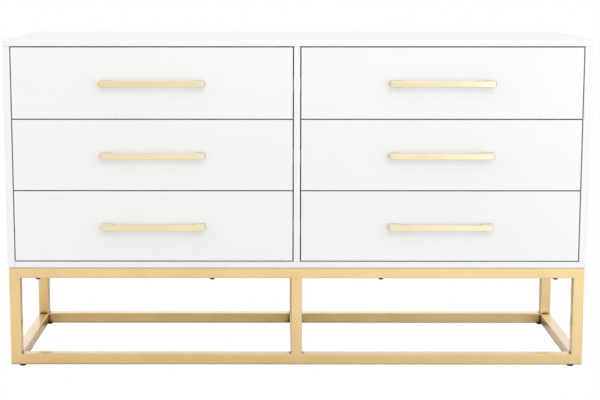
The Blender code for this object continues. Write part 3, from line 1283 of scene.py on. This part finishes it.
    def build_stop(self, side: Side) -> None:
        """Builds the nylon stop at the back end of the case's channel.

        Args:
            side: Which side.
        """
        low, high = self.corners(f"cabinet_runner_{side.word}")
        rise = self.sheet + PLAY
        back_x, mouth_x = (high.x, low.x) if side is Side.RIGHT else (low.x, high.x)
        inner = (back_x - side.value * rise, high.y - self.stop_length, low.z + rise)
        outer = (mouth_x + side.value * self.sheet, high.y, high.z - rise)
        stop = ease(add_block("stop", (inner, outer)), self.stop_arris, steps=3)
        self.keep(f"runner_stop_{side.word}", stop, NYLON, fixed=True)

    def build_lever(self, side: Side) -> None:
        """Builds the nylon lever that frees the drawer's channel.

        Args:
            side: Which side.
        """
        low, high = self.drawer_channel_box(side)
        web_x = low.x + self.sheet + PLAY if side is Side.RIGHT else high.x - self.sheet - PLAY
        start = Vector((web_x, low.y + self.lever_place, (low.z + high.z) / 2))
        leaf = self.lever_lower + self.lever_tip + self.lever_upper
        outline = [start + Vector((0, y, z)) for y, z in leaf]
        lever = prism("lever", outline, Vector((side.value * self.lever_depth, 0, 0)))
        self.keep(f"runner_lever_{side.word}", ease(lever, self.lever_arris), NYLON)


@dataclass(frozen=True)
class SoftBox:
    """A lamp that hangs at a place and faces another, and fans its light out by so many degrees."""

    name: str
    place: tuple
    aim: tuple
    size: tuple
    watts: float
    tint: tuple = PURE_WHITE
    spread: float = 180.0
    mirrored: bool = True

    def build(self) -> None:
        """Hangs the lamp."""
        lamp = bpy.data.lights.new(self.name, "AREA")
        lamp.shape = "RECTANGLE"
        lamp.size, lamp.size_y = self.size
        lamp.color = self.tint
        lamp.energy = self.watts
        lamp.spread = math.radians(self.spread)
        holder = added(self.name, lamp)
        holder.location = self.place
        look = Vector(self.aim) - Vector(self.place)
        holder.rotation_euler = look.to_track_quat("-Z", "Y").to_euler()
        holder.visible_glossy = self.mirrored


@dataclass
class Studio:
    """White floors, a pale sky, soft lamps and the photograph's camera."""

    photo_width: float = 600.0
    focal_pixels: float = 1370.6
    shift_pixels: tuple = (26.0, -45.0)
    camera_x: float = -0.0491
    camera_z: float = 1.0353
    camera_distance: float = 3.4843
    pitch: float = 0.1354
    yaw: float = 0.0028
    sensor_width: float = 36.0
    floor_size: float = 400.0
    floor_roughness: float = 0.9
    floor_step: float = 0.0005
    backdrop_radius: float = 40.0
    # The floor's painted light: cool on the right and warm on the left, seen in the gold's reflections.
    cool_floor: tuple = (0.99, 0.99, 1.0)
    warm_floor: tuple = (0.97, 0.93, 0.86)
    warm_ends: tuple = (0.95, 1.03)
    # Painted shadow on the floor behind the dresser.
    dim_floor: tuple = (0.42, 0.40, 0.38)
    dim_ends: tuple = (1.02, 1.06)
    floor_reach: float = 10.0
    near_floor: tuple = (0.50, 0.50, 0.50)
    near_ends: tuple = (0.75, 1.25)
    near_reach: float = 2.0
    sky_front: tuple = (0.850, 0.848, 0.860)
    sky_back: tuple = (1.04, 1.06, 1.10)
    sky_ends: tuple = (-0.6, 0.6)
    lamps: tuple = (
        SoftBox("key_light", (1.0, -4.7, 3.2), (0.0, 0.0, 0.5), (3.0, 1.6), 36.0, (1.0, 0.97, 0.88)),
        SoftBox("side_light", (2.6, -4.6, 0.9), (0.5, 0.0, 0.4), (1.6, 1.4), 22.0, (0.52, 0.76, 1.0)),
        SoftBox("fill_light", (0.0, -12.0, 1.6), (0.0, 0.0, 0.2), (5.0, 3.0), 56.0, PURE_WHITE, 90.0, False),
    )

    def build(self) -> None:
        """Builds the floors, the lights and the camera."""
        self.build_floors()
        self.build_sky()
        for lamp in self.lamps:
            lamp.build()
        self.build_camera()
        bpy.context.scene.view_settings.view_transform = "Standard"

    def build_floors(self) -> None:
        """Lays a floor and a backdrop for the camera, a floor to be mirrored and one that scatters light."""
        unlit = ("diffuse", "glossy", "transmission", "shadow")
        white = self.build_floor("white_floor", 0.0, *unlit)
        white.shade(Base_Color=PURE_BLACK, Specular_IOR_Level=0.0)
        white.shade(Emission_Color=PURE_WHITE, Emission_Strength=1.0)
        bpy.ops.mesh.primitive_uv_sphere_add(radius=self.backdrop_radius, location=(0, 0, 0))
        self.stage("white_backdrop", white.owner, *unlit)
        mirrored = self.build_floor("mirrored_floor", -self.floor_step, "camera", "diffuse", "shadow")
        mirrored.shade(Base_Color=self.floor_colour(mirrored), Roughness=self.floor_roughness)
        rays = ("camera", "glossy", "transmission")
        scattering = self.build_floor("scattering_floor", -2 * self.floor_step, *rays)
        size = (self.near_reach, self.near_reach, 1)
        outer = self.floor_colour(scattering)
        colour = scattering.faded((0, -self.near_reach, 0), size, self.near_ends, self.near_floor, outer)
        scattering.shade(Base_Color=colour, Roughness=self.floor_roughness)

    def floor_colour(self, sheet: NodeSheet) -> Socket:
        """The floor's colour, with painted light cool on the right and warm on the left, and painted shadow
        behind.

        Args:
            sheet: The nodes of the floor's material.

        Returns:
            The colour.
        """
        reach, right = self.floor_reach, (self.floor_reach, self.floor_size, 1)
        front = sheet.faded((reach, 0, 0), right, self.warm_ends, self.cool_floor, self.warm_floor)
        return sheet.faded((0, -reach, 0), (reach, reach, 1), self.dim_ends, front, self.dim_floor)

    def build_floor(self, name: str, height: float, *unseen: str) -> NodeSheet:
        """Lays one floor.

        Args:
            name: Its name.
            height: Its height.
            unseen: The kinds of ray that it is hidden from.

        Returns:
            The nodes of its material.
        """
        sheet = NodeSheet(bpy.data.materials.new(name))
        bpy.ops.mesh.primitive_plane_add(size=self.floor_size, location=(0, 0, 0))
        for vertex in bpy.context.object.data.vertices:
            vertex.co.z = height
        self.stage(name, sheet.owner, *unseen)
        return sheet

    def stage(self, name: str, material: bpy.types.Material, *unseen: str) -> None:
        """Makes the piece that was added last a part of the stage.

        Args:
            name: Its name.
            material: Its material.
            unseen: The kinds of ray that it is hidden from.
        """
        piece = named(bpy.context.object, name)
        piece.data.materials.append(material)
        for ray in unseen:
            setattr(piece, f"visible_{ray}", False)

    def build_sky(self) -> None:
        """Surrounds the dresser with pale light that is a little brighter behind it."""
        sheet = NodeSheet(bpy.data.worlds.new("studio"), "Background")
        heading = sheet.node("SeparateXYZ", {"Vector": sheet.coordinates["Generated"]}).outputs["Y"]
        share = sheet.remapped(heading, 0.0, 1.0, self.sky_ends, interpolation_type="SMOOTHSTEP")
        sheet.shade(Color=sheet.tinted(share, self.sky_front, self.sky_back))
        bpy.context.scene.world = sheet.owner

    def build_camera(self) -> None:
        """Stands the camera where the photograph was taken from."""
        data = bpy.data.cameras.new("camera")
        data.sensor_width = self.sensor_width
        data.lens = self.focal_pixels / self.photo_width * self.sensor_width
        data.shift_x, data.shift_y = (pixels / self.photo_width for pixels in self.shift_pixels)
        data.clip_end = self.floor_size
        camera = added("camera", data)
        camera.location = (self.camera_x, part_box("top_panel")[0].y - self.camera_distance, self.camera_z)
        camera.rotation_euler = (math.pi / 2 - self.pitch, 0.0, self.yaw)
        bpy.context.scene.camera = camera


def main() -> None:
    """Builds the dresser piece by piece, then the studio round it."""
    logging.basicConfig(level=logging.INFO, format="%(message)s")
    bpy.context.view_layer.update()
    Case().build()
    TubeBase().build()
    names = [f"{row}_{column.word}_drawer" for column in Side for row in ("top", "middle", "bottom")]
    for kind in (Drawer, Runners):
        pattern = kind(names[0])
        pattern.build()
        for name in names[1:]:
            kind(name).copy_from(pattern)
    Studio().build()


if __name__ == "__main__":
    main()
